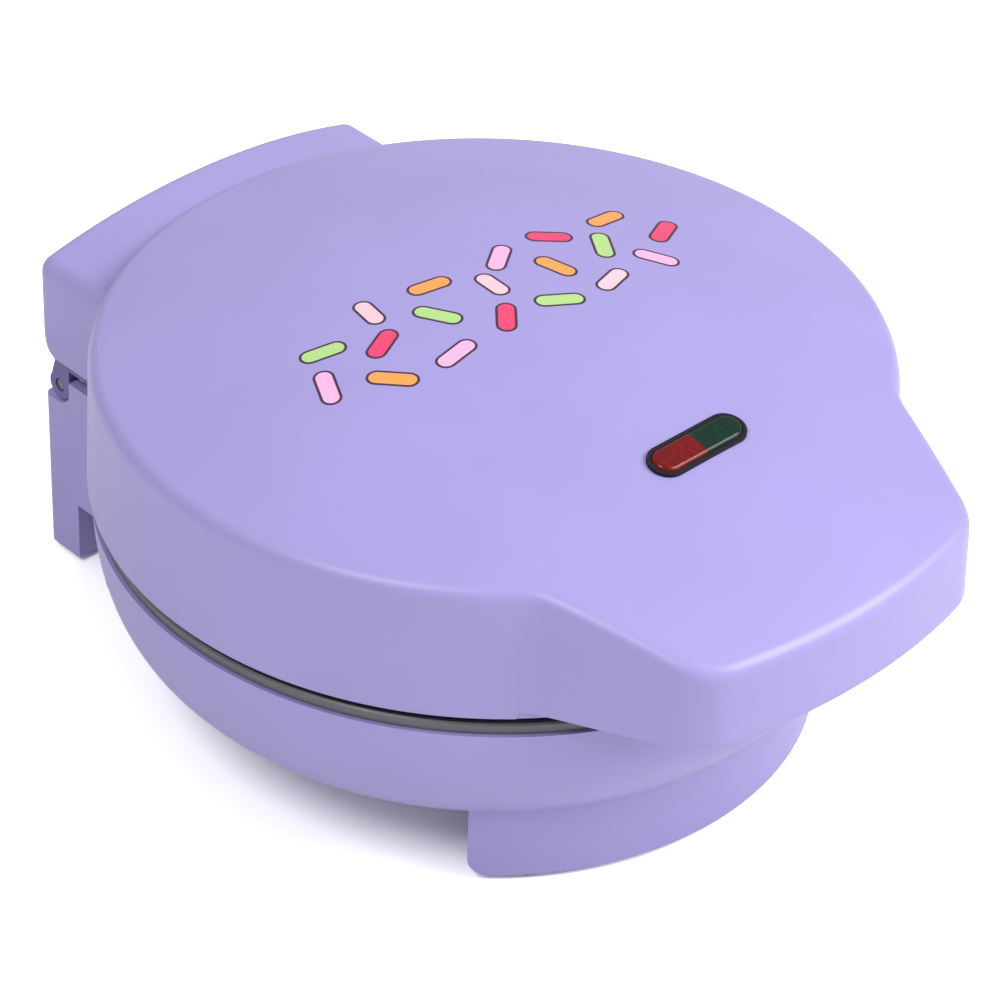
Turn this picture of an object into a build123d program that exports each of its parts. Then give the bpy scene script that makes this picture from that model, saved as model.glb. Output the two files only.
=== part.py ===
from build123d import *
import math
import os

os.makedirs("parts", exist_ok=True)

# ---------------------------------------------------------------------------
# Driving dimensions, in millimetres. +Z is up, the handle points to -Y and the
# hinge is at +Y. Heights are measured from the surface the cooker stands on.
# ---------------------------------------------------------------------------
# lid
lid_r = 111.3            # round part of the lid at its lower edge
lid_draft = 1.9          # degrees that the lid's walls lean in towards the top
lid_rim_z = 69.6         # lower edge of the lid
lid_edge_z = 109.2       # height of the top surface over the rim circle
dome_rise = 15.4         # how far the middle of the lid stands above that circle
dome_ref_r = 108.8
lid_wall = 2.8
lid_top_round = 4.6      # rounding between the lid's top and its walls
handle_side_x = 60.3     # half-width of the handle 110 mm in front of the middle
handle_side_deg = 21.0   # how fast the handle's sides close in
handle_front_y = -139.6  # front of the handle at its lower edge
handle_front_r = 168.0
handle_corner_r = 20.0
handle_root_r = 14.0
handle_lift = 2.7        # the handle's lower edge starts this much above the lid's
handle_rise_deg = 5.5    # and rises towards the front
hood_half = 59.0         # half-width of the hinge hood behind the lid
hood_rear_y = 126.8
hood_top_z = 108.3
hood_crown_drop = 8.2    # the hood's top falls this much towards its ends
# base
base_r = 110.3
base_rim_z = 63.0
body_low_r = 97.5
body_low_z = 27.0
base_wall = 2.8
foot_r_top = 96.4
foot_r_bottom = 94.6
foot_in_r = 83.0
foot_half_deg = 46.0
foot_z = 2.0
block_half = 57.8
block_rear_y = 126.0
block_under_z = 21.0
leg_front_y = 112.0
leg_in_x = 30.0
# hinge
hinge_y = 119.5
hinge_z = 59.5
pin_r = 2.0
pin_clear = 0.05
knuckle_r = 4.4
arm_x0, arm_x1 = 49.0, 57.0
# baking plates
parting_z = 66.55
plate_gap = 0.5
flange_t = 3.0
lower_flange_r = 109.2
upper_flange_r = 103.0
cup_r = 19.0
cup_wall = 2.5
cup_ring_r = 78.0
cup_ring_n = 9
cup_mid_r = 26.0
cup_mid_n = 3
plate_screw_r = 97.0
plate_screw_deg = (30, 150, 230, 310)
# indicator light in the lid
light_y = -76.0
light_len = 33.0
light_w = 10.8

# The box around the whole cooker is centred on the origin, so the middle of
# the round plates stands this far behind it.
handle_tip = handle_front_y
disc_y = (-handle_tip - hood_rear_y) / 2
disc_axis = Axis((0, disc_y, 0), (0, 0, 1))


def level(z):
    """Horizontal plane at height z, centred on the round plates."""
    return Plane(origin=(0, disc_y, z))


def side(x):
    """Upright plane at x: local x is +Y from the plates' middle, local y is +Z."""
    return Plane(origin=(x, disc_y, 0), x_dir=(0, 1, 0), z_dir=(1, 0, 0))


def radial(deg):
    """Upright plane through the plates' middle: local x is outward, local y is +Z."""
    a = math.radians(deg)
    return Plane(
        origin=(0, disc_y, 0),
        x_dir=(math.cos(a), math.sin(a), 0),
        z_dir=(math.sin(a), -math.cos(a), 0),
    )


def polar(r, deg):
    return (r * math.cos(math.radians(deg)), r * math.sin(math.radians(deg)))


def lid_outline(inset):
    """Plan of the lid at its lower edge, moved inward by inset."""
    a = math.radians(handle_side_deg)
    t = math.tan(a)
    hc = handle_side_x - inset / math.cos(a)
    rf = handle_front_r - inset
    yc = handle_front_y + handle_front_r
    # corner where the straight side meets the front arc
    qa = t * t + 1
    qb = 2 * t * (hc + 110 * t) - 2 * yc
    qc = (hc + 110 * t) ** 2 + yc * yc - rf * rf
    yk = (-qb - math.sqrt(qb * qb - 4 * qa * qc)) / (2 * qa)
    xk = hc + t * (yk + 110)
    xi = hc + t * (-60 + 110)
    with BuildSketch() as s:
        Circle(lid_r - inset)
        with BuildLine():
            Line((-xi, -60), (-xk, yk))
            ThreePointArc((-xk, yk), (0, yc - rf), (xk, yk))
            Line((xk, yk), (xi, -60))
            Line((xi, -60), (-xi, -60))
        make_face()
        corners = s.vertices().sort_by(Axis.Y)
        fillet(corners[0:2], radius=handle_corner_r - inset)
        roots = [v for v in s.vertices().sort_by(Axis.Y) if -100 < v.Y < -75]
        fillet(roots, radius=handle_root_r + inset)
    return s.sketch


# plane of the handle's lower edge, which rises towards the front
handle_floor = Plane(
    origin=(0, disc_y - 95, lid_rim_z + handle_lift),
    x_dir=(1, 0, 0),
    z_dir=(0, math.sin(math.radians(handle_rise_deg)), math.cos(math.radians(handle_rise_deg))),
)
cover_spots = [(-26, -29.5), (26, -29.5)]


def floor_z(y, up=0.0):
    """Height of the handle's lower edge at y, plus up."""
    return lid_rim_z + handle_lift - (y + 95) * math.tan(math.radians(handle_rise_deg)) + up


dome_r = (dome_ref_r**2 + dome_rise**2) / (2 * dome_rise)
dome_top_z = lid_edge_z + dome_rise


def dome_z(r, drop=0.0):
    return dome_top_z - dome_r + math.sqrt((dome_r - drop) ** 2 - r * r)


def dome_profile(drop):
    """Half section under the lid's domed top, moved down square to it by drop."""
    with BuildSketch() as s:
        with BuildLine():
            Line((0, 40), (165, 40))
            Line((165, 40), (165, dome_z(165, drop)))
            ThreePointArc(
                (165, dome_z(165, drop)),
                (85, dome_z(85, drop)),
                (0, dome_z(0, drop)),
            )
            Line((0, dome_z(0, drop)), (0, 40))
        make_face()
    return s.sketch


def bowl_profile(inset, top):
    """Half section of the base's round body, moved inward by inset."""
    pts = [
        (body_low_r - inset * 0.80, body_low_z + inset * 0.60),
        (103.2 - inset * 0.84, 33.6 + inset * 0.52),
        (107.3 - inset * 0.95, 42.5 + inset * 0.30),
        (109.4 - inset, 52.0 + inset * 0.10),
        (base_r - inset, base_rim_z),
    ]
    with BuildSketch() as s:
        with BuildLine():
            Line((0, 22 + inset), (89 - inset, 22 + inset))
            Line((89 - inset, 22 + inset), pts[0])
            Spline(*pts)
            if top > base_rim_z:
                Line(pts[-1], (base_r - inset, top))
            Line((base_r - inset, top), (0, top))
            Line((0, top), (0, 22 + inset))
        make_face()
    return s.sketch


# ---------------------------------------------------------------------------
# Lid shell: round dome with the handle in front and the hinge hood behind
# ---------------------------------------------------------------------------
with BuildPart() as lid_form:
    with BuildSketch(level(lid_rim_z)):
        add(lid_outline(0))
    extrude(amount=70, taper=lid_draft)
    with BuildSketch(radial(0)):
        add(dome_profile(0))
    revolve(axis=disc_axis, mode=Mode.INTERSECT)
    fillet(lid_form.faces().sort_by(Axis.Z)[-1].edges(), radius=lid_top_round)

with BuildPart() as lid_cavity:
    with BuildSketch(level(lid_rim_z - 1)):
        add(lid_outline(lid_wall))
    extrude(amount=71, taper=lid_draft)
    with BuildSketch(radial(0)):
        add(dome_profile(lid_wall))
    revolve(axis=disc_axis, mode=Mode.INTERSECT)

with BuildPart() as hood_form:
    # side view: the rear wall curves in strongly towards its lower edge
    with BuildSketch(side(-hood_half)):
        with BuildLine():
            Line((70, lid_rim_z), (hood_rear_y - 9.8, lid_rim_z))
            EllipticalCenterArc(
                center=(hood_rear_y - 9.8, lid_rim_z + 16.4),
                x_radius=9.8, y_radius=16.4, start_angle=-90, arc_size=90,
            )
            Line((hood_rear_y, lid_rim_z + 16.4), (hood_rear_y - 1.5, 112))
            Line((hood_rear_y - 1.5, 112), (70, 112))
            Line((70, 112), (70, lid_rim_z))
        make_face()
    extrude(amount=2 * hood_half)
    # plan: rounded rear corners
    with BuildSketch(level(60)) as hood_plan:
        with BuildLine():
            Line((-hood_half, 60), (-hood_half, hood_rear_y - 0.4))
            ThreePointArc(
                (-hood_half, hood_rear_y - 0.4), (0, hood_rear_y), (hood_half, hood_rear_y - 0.4)
            )
            Line((hood_half, hood_rear_y - 0.4), (hood_half, 60))
            Line((hood_half, 60), (-hood_half, 60))
        make_face()
        fillet(hood_plan.vertices().sort_by(Axis.Y)[-2:], radius=5)
    extrude(amount=60, mode=Mode.INTERSECT)
    # front view: crowned top
    with BuildSketch(Plane.XZ.offset(-200)):
        with BuildLine():
            Line((-70, 50), (-70, 90))
            Line((-70, 90), (-hood_half - 2, hood_top_z - hood_crown_drop * 1.07))
            ThreePointArc(
                (-hood_half - 2, hood_top_z - hood_crown_drop * 1.07),
                (0, hood_top_z),
                (hood_half + 2, hood_top_z - hood_crown_drop * 1.07),
            )
            Line((hood_half + 2, hood_top_z - hood_crown_drop * 1.07), (70, 90))
            Line((70, 90), (70, 50))
            Line((70, 50), (-70, 50))
        make_face()
    extrude(amount=300, mode=Mode.INTERSECT)
    top = hood_form.faces().sort_by(Axis.Z)[-1]
    fillet(
        [e for e in top.edges() if e.center().Y > disc_y + 71],
        radius=4.2,
    )

with BuildPart() as handle_cut:
    with BuildSketch(side(-90)):
        with BuildLine():
            Polyline(
                (-150, 60), (-60, 60), (-60, floor_z(-60)), (-150, floor_z(-150)), close=True,
            )
        make_face()
    extrude(amount=180)
    with BuildSketch(level(50)):
        Circle(lid_r + 0.01)
    extrude(amount=60, mode=Mode.SUBTRACT)

# screw bosses of the handle's cover, which end inside the top wall
with BuildPart() as cover_bosses:
    with BuildSketch(handle_floor.offset(4)):
        with Locations(*cover_spots):
            Circle(4.2)
    extrude(amount=40)
    with BuildSketch(radial(0)):
        add(dome_profile(1.4))
    revolve(axis=disc_axis, mode=Mode.INTERSECT)

with BuildPart() as lid_shell:
    add(lid_form.part)
    add(hood_form.part)
    add(lid_cavity.part, mode=Mode.SUBTRACT)
    # hollow of the hood, open to the round part
    with BuildSketch(side(-hood_half + 3)):
        with BuildLine():
            Line((88, lid_rim_z + 3), (hood_rear_y - 11, lid_rim_z + 3))
            Line((hood_rear_y - 11, lid_rim_z + 3), (hood_rear_y - 3.6, lid_rim_z + 14))
            Line((hood_rear_y - 3.6, lid_rim_z + 14), (hood_rear_y - 4.4, 97.2))
            Line((hood_rear_y - 4.4, 97.2), (88, 97.2))
            Line((88, 97.2), (88, lid_rim_z + 3))
        make_face()
    extrude(amount=2 * hood_half - 6, mode=Mode.SUBTRACT)
    # round wall carried on across the root of the handle
    with BuildSketch(level(lid_rim_z)) as root_wall:
        Circle(lid_r - 0.5)
        Circle(lid_r - lid_wall - 0.3, mode=Mode.SUBTRACT)
        with Locations((0, -102)):
            Rectangle(152, 48, mode=Mode.INTERSECT)
    extrude(amount=11)
    # the handle's lower edge is higher than the lid's
    add(handle_cut.part, mode=Mode.SUBTRACT)
    # posts that the upper baking plate is screwed to
    for deg in plate_screw_deg:
        px, py = polar(plate_screw_r, deg)
        rx, ry = polar(plate_screw_r + 6, deg)
        with BuildSketch(level(parting_z + plate_gap / 2 + flange_t)):
            with Locations((px, py)):
                Circle(4.5)
            with Locations(Location((rx, ry), deg)):
                Rectangle(13, 2.6)
        extrude(amount=20)
    # handle cover bosses
    add(cover_bosses.part)
    with BuildSketch(handle_floor.offset(-1)):
        with Locations(*cover_spots):
            Circle(1.45)
    extrude(amount=15, mode=Mode.SUBTRACT)
    # pilot holes for the upper plate's screws and for the hinge arms
    with BuildSketch(level(lid_rim_z - 1)):
        with Locations(*[polar(plate_screw_r, deg) for deg in plate_screw_deg]):
            Circle(1.8)
    extrude(amount=15, mode=Mode.SUBTRACT)
    with BuildSketch(level(lid_rim_z - 1)):
        with Locations((-53, 105.5), (-53, 111.2), (53, 105.5), (53, 111.2)):
            Circle(1.6)
    extrude(amount=8, mode=Mode.SUBTRACT)
    # seat of the indicator light, square to the dome where it stands
    tilt = math.asin(abs(light_y) / dome_r)
    light_plane = Plane(
        origin=(0, disc_y + light_y, dome_z(abs(light_y))),
        x_dir=(1, 0, 0),
        z_dir=(0, -math.sin(tilt), math.cos(tilt)),
    )
    with BuildSketch(light_plane.offset(-9)):
        SlotOverall(light_len + 0.2, light_w + 0.2)
    extrude(amount=18, mode=Mode.SUBTRACT)
lid_shell.part.label = "lid_shell"
export_step(lid_shell.part, "parts/lid_shell.step")

# ---------------------------------------------------------------------------
# Cover that closes the underside of the handle, and its screws
# ---------------------------------------------------------------------------
with BuildPart() as handle_cover:
    with BuildSketch(level(lid_rim_z)) as cover_plan:
        add(lid_outline(lid_wall + 0.9))
        Circle(lid_r + 0.4, mode=Mode.SUBTRACT)
        with Locations((0, 60)):
            Rectangle(260, 290, mode=Mode.SUBTRACT)
    extrude(amount=30)
    # a sheet parallel to the handle's lower edge, a little inside it
    with BuildSketch(side(-90)):
        with BuildLine():
            Polyline(
                (-150, floor_z(-150, 1.2)), (-60, floor_z(-60, 1.2)),
                (-60, floor_z(-60, 3.8)), (-150, floor_z(-150, 3.8)), close=True,
            )
        make_face()
    extrude(amount=180, mode=Mode.INTERSECT)
    with BuildSketch(handle_floor):
        with Locations(*cover_spots):
            Circle(1.8)
    extrude(amount=10, mode=Mode.SUBTRACT)
handle_cover.part.label = "handle_cover"
export_step(handle_cover.part, "parts/handle_cover.step")

with BuildPart() as handle_cover_screws:
    with BuildSketch(handle_floor.offset(0.35)):
        with Locations(*cover_spots):
            Circle(2.9)
    extrude(amount=0.8)
    with BuildSketch(handle_floor.offset(1.15)):
        with Locations(*cover_spots):
            Circle(1.4)
    extrude(amount=9)
    # cross recess in each head
    with BuildSketch(handle_floor.offset(0.35)):
        with Locations(*cover_spots):
            Rectangle(2.6, 0.6)
            Rectangle(0.6, 2.6)
    extrude(amount=0.5, mode=Mode.SUBTRACT)
handle_cover_screws.part.label = "handle_cover_screws"
export_step(handle_cover_screws.part, "parts/handle_cover_screws.step")

# ---------------------------------------------------------------------------
# Hinge: two arms under the hood turn on two pins in the base's rear block
# ---------------------------------------------------------------------------
with BuildPart() as hinge_arms:
    for x0 in (-arm_x1, arm_x0):
        with BuildSketch(side(x0)):
            with Locations((hinge_y, hinge_z)):
                Circle(knuckle_r)
            with BuildLine():
                Polyline(
                    (hinge_y - knuckle_r, hinge_z),
                    (hinge_y + knuckle_r, hinge_z),
                    (hinge_y + 1.2, lid_rim_z),
                    (hinge_y - 16, lid_rim_z),
                    (hinge_y - 16, lid_rim_z - 3.3),
                    (hinge_y - knuckle_r, lid_rim_z - 3.3),
                    close=True,
                )
            make_face()
            with Locations((hinge_y, hinge_z)):
                Circle(pin_r + pin_clear, mode=Mode.SUBTRACT)
        extrude(amount=arm_x1 - arm_x0)
    with BuildSketch(level(lid_rim_z - 8)):
        with Locations((-53, 105.5), (-53, 111.2), (53, 105.5), (53, 111.2)):
            Circle(1.75)
    extrude(amount=9, mode=Mode.SUBTRACT)
hinge_arms.part.label = "hinge_arms"
export_step(hinge_arms.part, "parts/hinge_arms.step")

with BuildPart() as hinge_arm_screws:
    arm_screw_spots = [(-53, 105.5), (-53, 111.2), (53, 105.5), (53, 111.2)]
    with BuildSketch(level(lid_rim_z - 4.9)):
        with Locations(*arm_screw_spots):
            Circle(2.8)
    extrude(amount=1.6)
    with BuildSketch(level(lid_rim_z - 3.3)):
        with Locations(*arm_screw_spots):
            Circle(1.5)
    extrude(amount=8.5)
    with BuildSketch(level(lid_rim_z - 4.9)):
        with Locations(*arm_screw_spots):
            Rectangle(2.6, 0.6)
            Rectangle(0.6, 2.6)
    extrude(amount=0.8, mode=Mode.SUBTRACT)
hinge_arm_screws.part.label = "hinge_arm_screws"
export_step(hinge_arm_screws.part, "parts/hinge_arm_screws.step")

with BuildPart() as hinge_pins:
    for x0 in (-56.6, 36.0):
        with BuildSketch(side(x0)):
            with Locations((hinge_y, hinge_z)):
                Circle(pin_r)
        extrude(amount=20.6)
    chamfer(hinge_pins.edges().filter_by(GeomType.CIRCLE), length=0.4)
hinge_pins.part.label = "hinge_pins"
export_step(hinge_pins.part, "parts/hinge_pins.step")

# ---------------------------------------------------------------------------
# Baking plates: flange with half-round cups, cast in aluminium
# ---------------------------------------------------------------------------
cup_spots = [polar(cup_ring_r, 90 + 360 / cup_ring_n * i) for i in range(cup_ring_n)]
cup_spots += [polar(cup_mid_r, 90 + 360 / cup_mid_n * i) for i in range(cup_mid_n)]
lower_face = parting_z - plate_gap / 2
upper_face = parting_z + plate_gap / 2

with BuildPart() as lower_plate:
    with BuildSketch(level(lower_face - flange_t)):
        Circle(lower_flange_r)
    extrude(amount=flange_t)
    chamfer(lower_plate.faces().sort_by(Axis.Z)[-1].edges(), length=0.5)
    with Locations(*[Location((x, disc_y + y, lower_face)) for x, y in cup_spots]):
        Sphere(cup_r + cup_wall, arc_size1=-90, arc_size2=0, align=None)
    with Locations(*[Location((x, disc_y + y, lower_face)) for x, y in cup_spots]):
        Sphere(cup_r, mode=Mode.SUBTRACT)
    with Locations(*[Location((x, disc_y + y, lower_face)) for x, y in [polar(plate_screw_r, d) for d in plate_screw_deg]]):
        CounterSinkHole(radius=1.9, counter_sink_radius=3.6, depth=flange_t + 1)
lower_plate.part.label = "lower_plate"
export_step(lower_plate.part, "parts/lower_plate.step")

with BuildPart() as upper_plate:
    with BuildSketch(level(upper_face)):
        Circle(upper_flange_r)
    extrude(amount=flange_t)
    chamfer(upper_plate.faces().sort_by(Axis.Z)[0].edges(), length=0.5)
    with Locations(*[Location((x, disc_y + y, upper_face)) for x, y in cup_spots]):
        Sphere(cup_r + cup_wall, arc_size1=0, arc_size2=90, align=None)
    with Locations(*[Location((x, disc_y + y, upper_face)) for x, y in cup_spots]):
        Sphere(cup_r, mode=Mode.SUBTRACT)
    with Locations(*[Location((x, disc_y + y, upper_face), (180, 0, 0)) for x, y in [polar(plate_screw_r, d) for d in plate_screw_deg]]):
        CounterSinkHole(radius=1.9, counter_sink_radius=3.6, depth=flange_t + 1)
upper_plate.part.label = "upper_plate"
export_step(upper_plate.part, "parts/upper_plate.step")

for which in ("lower", "upper"):
    sign = -1 if which == "lower" else 1
    face = lower_face if which == "lower" else upper_face
    # countersunk screws that hold the plate's flange to its posts
    with BuildPart() as plate_screws:
        for deg in plate_screw_deg:
            x, y = polar(plate_screw_r, deg)
            with BuildSketch(Plane(origin=(x, disc_y + y, 0), x_dir=(1, 0, 0), z_dir=(0, -1, 0))):
                with BuildLine():
                    Polyline(
                        (0, face), (3.3, face), (3.3, face + sign * 0.3),
                        (1.6, face + sign * 2.0), (1.6, face + sign * 13), (0, face + sign * 13),
                        close=True,
                    )
                make_face()
            revolve(axis=Axis((x, disc_y + y, 0), (0, 0, 1)))
            with BuildSketch(Plane(origin=(x, disc_y + y, face))):
                Rectangle(3.0, 0.7)
                Rectangle(0.7, 3.0)
            extrude(amount=sign * 0.9, mode=Mode.SUBTRACT)
    if which == "lower":
        lower_plate_screws = plate_screws
    else:
        upper_plate_screws = plate_screws
    # sheathed heating element: most of a ring, with two cold ends
    ring_z = face + sign * (flange_t + 5.8)
    with BuildPart() as element:
        with BuildSketch(radial(-70)):
            with Locations((52, ring_z)):
                Circle(3.25)
        revolve(axis=disc_axis, revolution_arc=320)
        for deg in (-70, -110):
            x, y = polar(52, deg)
            with BuildSketch(Plane(origin=(x, disc_y + y, ring_z))):
                Circle(3.2)
            extrude(amount=sign * 11)
            with BuildSketch(Plane(origin=(x, disc_y + y, ring_z + sign * 11))):
                Circle(1.2)
            extrude(amount=sign * 6)
    if which == "lower":
        lower_heating_element = element
    else:
        upper_heating_element = element
    # dished sheet that keeps the heat off the housing
    with BuildPart() as shield:
        z0 = face + sign * 26.3
        with BuildSketch(radial(0)):
            with BuildLine():
                Polyline(
                    (0, z0), (91, z0), (91, z0 - sign * 6), (90.2, z0 - sign * 6),
                    (90.2, z0 - sign * 0.8), (0, z0 - sign * 0.8), close=True,
                )
            make_face()
        revolve(axis=disc_axis)
        with BuildSketch(level(z0)):
            with Locations(polar(52, -70), polar(52, -110)):
                Circle(5.5)
        extrude(amount=-sign * 2, mode=Mode.SUBTRACT)
        with BuildSketch(level(z0)):
            with Locations(polar(52, 20), polar(52, 160)):
                Circle(2.2)
        extrude(amount=-sign * 2, mode=Mode.SUBTRACT)
    if which == "lower":
        lower_heat_shield = shield
    else:
        upper_heat_shield = shield
    # bolts from the plate's underside that the shield hangs on
    with BuildPart() as shield_bolts:
        for deg in (20, 160):
            x, y = polar(52, deg)
            with BuildSketch(Plane(origin=(x, disc_y + y, z0))):
                Circle(1.9)
            extrude(amount=-sign * 13.5)
            with BuildSketch(Plane(origin=(x, disc_y + y, z0))):
                RegularPolygon(3.6, 6)
            extrude(amount=sign * 2.4)
    if which == "lower":
        lower_shield_bolts = shield_bolts
    else:
        upper_shield_bolts = shield_bolts

lower_plate_screws.part.label = "lower_plate_screws"
export_step(lower_plate_screws.part, "parts/lower_plate_screws.step")
upper_plate_screws.part.label = "upper_plate_screws"
export_step(upper_plate_screws.part, "parts/upper_plate_screws.step")
lower_heating_element.part.label = "lower_heating_element"
export_step(lower_heating_element.part, "parts/lower_heating_element.step")
upper_heating_element.part.label = "upper_heating_element"
export_step(upper_heating_element.part, "parts/upper_heating_element.step")
lower_heat_shield.part.label = "lower_heat_shield"
export_step(lower_heat_shield.part, "parts/lower_heat_shield.step")
upper_heat_shield.part.label = "upper_heat_shield"
export_step(upper_heat_shield.part, "parts/upper_heat_shield.step")
lower_shield_bolts.part.label = "lower_shield_bolts"
export_step(lower_shield_bolts.part, "parts/lower_shield_bolts.step")
upper_shield_bolts.part.label = "upper_shield_bolts"
export_step(upper_shield_bolts.part, "parts/upper_shield_bolts.step")

# ---------------------------------------------------------------------------
# Indicator light: dark bezel, red and green halves, two lamps in a holder
# ---------------------------------------------------------------------------
with BuildPart() as indicator_bezel:
    with BuildSketch(light_plane.offset(-6)):
        SlotOverall(light_len, light_w)
    extrude(amount=6.7)
    with BuildSketch(light_plane.offset(-4.2)):
        SlotOverall(light_len - 2.2, light_w - 2.2)
    extrude(amount=8, mode=Mode.SUBTRACT)
    with BuildSketch(light_plane.offset(-7)):
        with Locations((-7.5, 0), (7.5, 0)):
            Circle(3.4)
    extrude(amount=6, mode=Mode.SUBTRACT)
indicator_bezel.part.label = "indicator_bezel"
export_step(indicator_bezel.part, "parts/indicator_bezel.step")

with BuildPart() as lens_form:
    with BuildSketch(light_plane.offset(-4.0)):
        SlotOverall(light_len - 2.4, light_w - 2.4)
    extrude(amount=5.5)
    fillet(lens_form.faces().sort_by(Axis.Z)[-1].edges(), radius=1.3)

with BuildPart() as indicator_lens_red:
    add(lens_form.part)
    with BuildSketch(light_plane.offset(-10)):
        with Locations((19.96, 0)):
            Rectangle(40, 40)
    extrude(amount=20, mode=Mode.SUBTRACT)
indicator_lens_red.part.label = "indicator_lens_red"
export_step(indicator_lens_red.part, "parts/indicator_lens_red.step")

with BuildPart() as indicator_lens_green:
    add(lens_form.part)
    with BuildSketch(light_plane.offset(-10)):
        with Locations((-19.96, 0)):
            Rectangle(40, 40)
    extrude(amount=20, mode=Mode.SUBTRACT)
indicator_lens_green.part.label = "indicator_lens_green"
export_step(indicator_lens_green.part, "parts/indicator_lens_green.step")

with BuildPart() as lamp_holder:
    with BuildSketch(light_plane.offset(-9.2)):
        SlotOverall(light_len - 1, light_w)
    extrude(amount=3.1)
    with BuildSketch(light_plane.offset(-10)):
        with Locations((-7.5, 0), (7.5, 0)):
            Circle(3.1)
    extrude(amount=6, mode=Mode.SUBTRACT)
lamp_holder.part.label = "lamp_holder"
export_step(lamp_holder.part, "parts/lamp_holder.step")

with BuildPart() as indicator_lamps:
    with BuildSketch(light_plane.offset(-12.5)):
        with Locations((-7.5, 0), (7.5, 0)):
            Circle(2.9)
    extrude(amount=8)
    fillet(indicator_lamps.faces().sort_by(Axis.Z)[-2:].edges(), radius=2.4)
    with BuildSketch(light_plane.offset(-19)):
        with Locations((-8.7, 0), (-6.3, 0), (6.3, 0), (8.7, 0)):
            Circle(0.4)
    extrude(amount=6.6)
indicator_lamps.part.label = "indicator_lamps"
export_step(indicator_lamps.part, "parts/indicator_lamps.step")

# ---------------------------------------------------------------------------
# Base shell: round bowl, curved front foot, rear block with two legs
# ---------------------------------------------------------------------------
with BuildPart() as front_foot_form:
    with BuildSketch(radial(-90 - foot_half_deg)):
        with BuildLine():
            Polyline(
                (foot_in_r, body_low_z + 0.5), (foot_r_top, body_low_z + 0.5),
                (foot_r_bottom, foot_z), (foot_in_r, foot_z), close=True,
            )
        make_face()
    revolve(axis=disc_axis, revolution_arc=2 * foot_half_deg)
    low = front_foot_form.faces().sort_by(Axis.Z)[0]
    ends = [e for e in low.edges() if e.geom_type == GeomType.LINE]
    fillet(ends, radius=6)

with BuildPart() as rear_block_form:
    with BuildSketch(level(block_under_z)) as block_plan:
        with BuildLine():
            Polyline(
                (-block_half, 77.5), (-block_half, block_rear_y),
                (block_half, block_rear_y), (block_half, 77.5), close=True,
            )
        make_face()
        fillet(block_plan.vertices().sort_by(Axis.Y)[-2:], radius=2.5)
    extrude(amount=base_rim_z - block_under_z)
    with BuildSketch(level(foot_z)) as legs:
        with BuildLine():
            Polyline(
                (-block_half, leg_front_y), (-block_half, block_rear_y),
                (-leg_in_x, block_rear_y), (-leg_in_x, leg_front_y), close=True,
            )
        make_face()
        with BuildLine():
            Polyline(
                (block_half, leg_front_y), (block_half, block_rear_y),
                (leg_in_x, block_rear_y), (leg_in_x, leg_front_y), close=True,
            )
        make_face()
        outer = [v for v in legs.vertices() if abs(v.X) > 50 and v.Y > 120]
        fillet(outer, radius=2.5)
    extrude(amount=block_under_z - foot_z)
    # side view: the legs curve in at the rear towards their feet
    with BuildSketch(side(-70)) as block_side:
        with BuildLine():
            Polyline(
                (60, foot_z), (block_rear_y, foot_z), (block_rear_y, base_rim_z),
                (60, base_rim_z), close=True,
            )
        make_face()
        heel = block_side.vertices().sort_by(Axis.Z)[:2].sort_by(Axis.Y)[-1]
        fillet(heel, radius=6.5)
    extrude(amount=140, mode=Mode.INTERSECT)

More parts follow.
